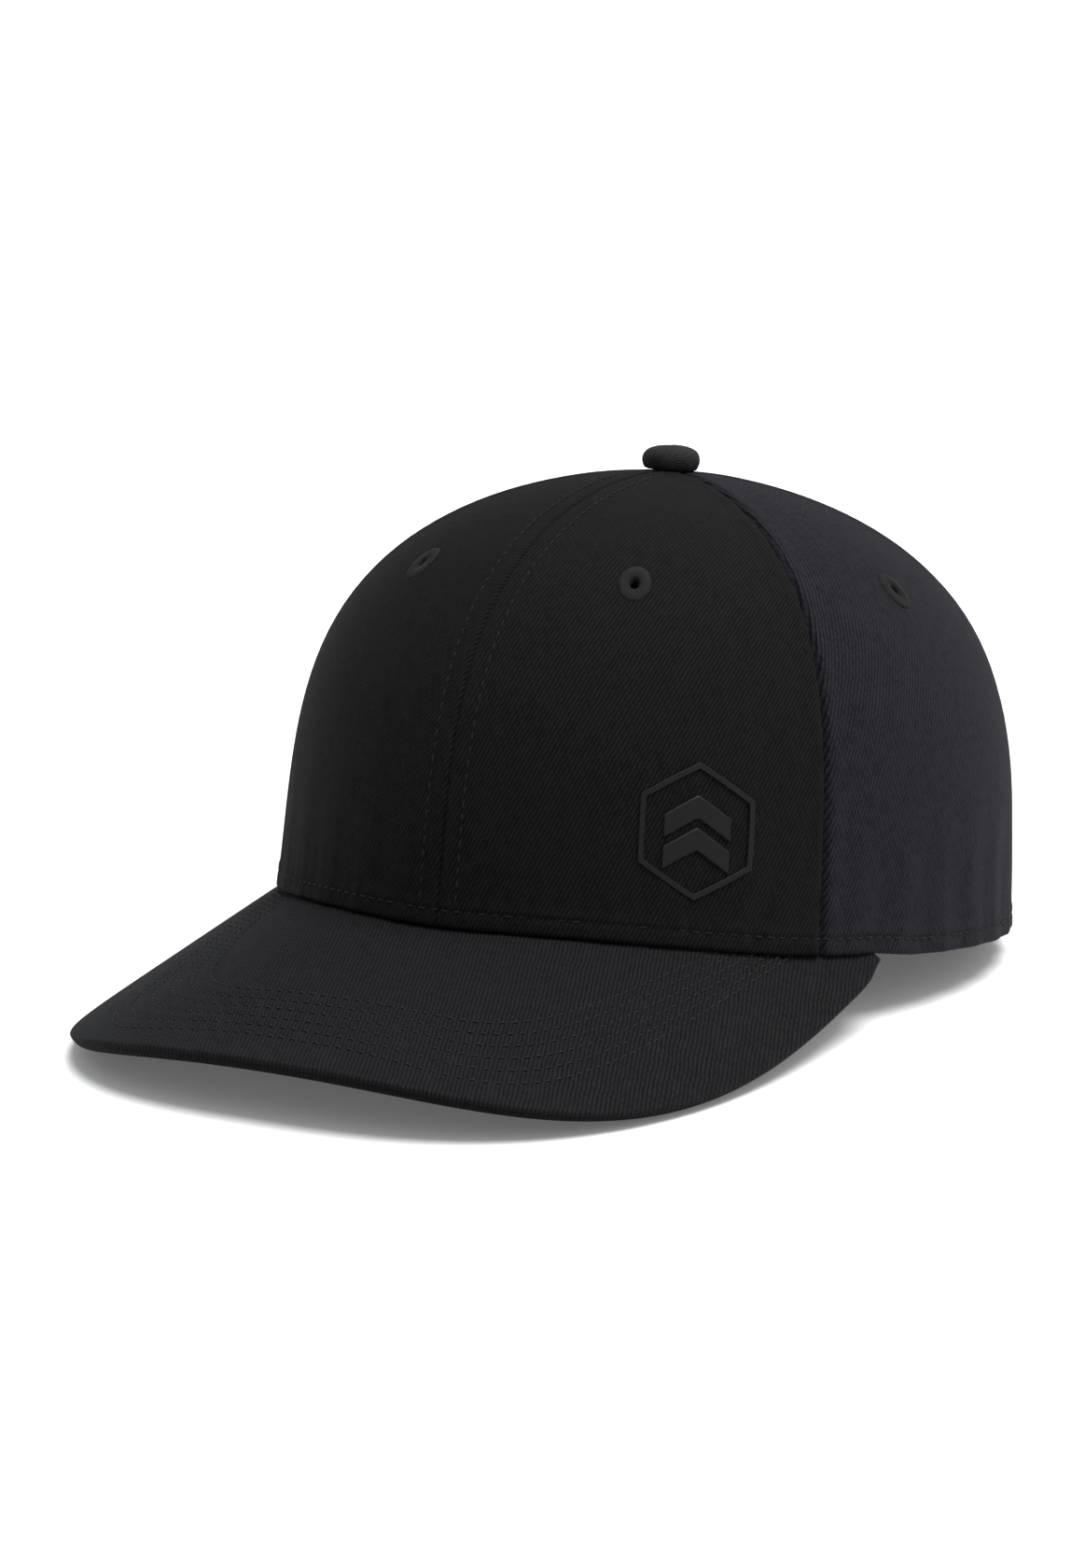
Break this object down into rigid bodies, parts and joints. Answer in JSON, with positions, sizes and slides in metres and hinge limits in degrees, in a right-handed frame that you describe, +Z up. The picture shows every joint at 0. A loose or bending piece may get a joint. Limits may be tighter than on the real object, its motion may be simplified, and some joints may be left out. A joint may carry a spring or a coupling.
{
  "type": "bump cap",
  "caption": "Baseball-style safety cap: panelled twill crown, curved stitched visor, removable hard insert with foam pads, and a strap and buckle at the back.",
  "frame": {"origin": "middle of the bounding box's base, on the surface that the cap stands on", "axes": "+Z up with the cap standing on its visor and the back of its hem, visor towards -Y, the wearer's left +X"},
  "size_m": [0.1848, 0.282, 0.1289],
  "materials": {
    "crown_twill": "matte",
    "visor_twill": "matte",
    "eyelet_thread": "satin",
    "cotton_tape": "matte",
    "buckram": "matte",
    "sweatband_cloth": "matte",
    "badge_print": "satin",
    "dark_steel": "satin",
    "visor_board_plastic": "matte",
    "shell_plastic": "satin",
    "pad_foam": "matte"
  },
  "bodies": {
    "cap": {"crown_panel_front_left": "crown_twill", "crown_panel_side_left": "crown_twill", "crown_panel_back_left": "crown_twill", "crown_panel_back_right": "crown_twill", "crown_panel_side_right": "crown_twill", "crown_panel_front_right": "crown_twill", "eyelet_front_left": "eyelet_thread", "eyelet_side_left": "eyelet_thread", "eyelet_back_left": "eyelet_thread", "eyelet_back_right": "eyelet_thread", "eyelet_side_right": "eyelet_thread", "eyelet_front_right": "eyelet_thread", "seam_tape_front": "cotton_tape", "seam_tape_front_left": "cotton_tape", "seam_tape_back_left": "cotton_tape", "seam_tape_back": "cotton_tape", "seam_tape_back_right": "cotton_tape", "seam_tape_front_right": "cotton_tape", "front_stiffener_left": "buckram", "front_stiffener_right": "buckram", "sweatband": "sweatband_cloth", "top_button": "crown_twill", "button_rivet": "dark_steel", "badge_ring": "badge_print", "badge_chevron_upper": "badge_print", "badge_chevron_lower": "badge_print", "visor_top_cover": "visor_twill", "visor_board": "visor_board_plastic", "visor_under_cover": "visor_twill", "opening_binding": "cotton_tape", "buckle_frame": "dark_steel", "lever_pin": "dark_steel", "buckle_tab": "cotton_tape"},
    "strap": {"adjuster_strap": "crown_twill"},
    "lever": {"buckle_lever": "dark_steel"},
    "insert": {"protective_shell": "shell_plastic", "foam_pad_front": "pad_foam", "foam_pad_left": "pad_foam", "foam_pad_right": "pad_foam", "foam_pad_back": "pad_foam", "foam_pad_top": "pad_foam"}
  },
  "joints": [
    {"name": "insert_removal", "type": "slide", "parent": "cap", "child": "insert", "axis": [0, -0.1255, -0.9921], "range_m": [0, 0.13]},
    {"name": "strap_adjust", "type": "hinge", "parent": "cap", "child": "strap", "pos_m": [0, 0.04487, 0.01101], "axis": [0, 0.1255, 0.9921], "range_deg": [-10, 10]},
    {"name": "buckle_lever_turn", "type": "hinge", "parent": "cap", "child": "lever", "pos_m": [0.00097, 0.13816, 0.01231], "axis": [0, -0.1255, -0.9921], "range_deg": [0, 95]}
  ]
}
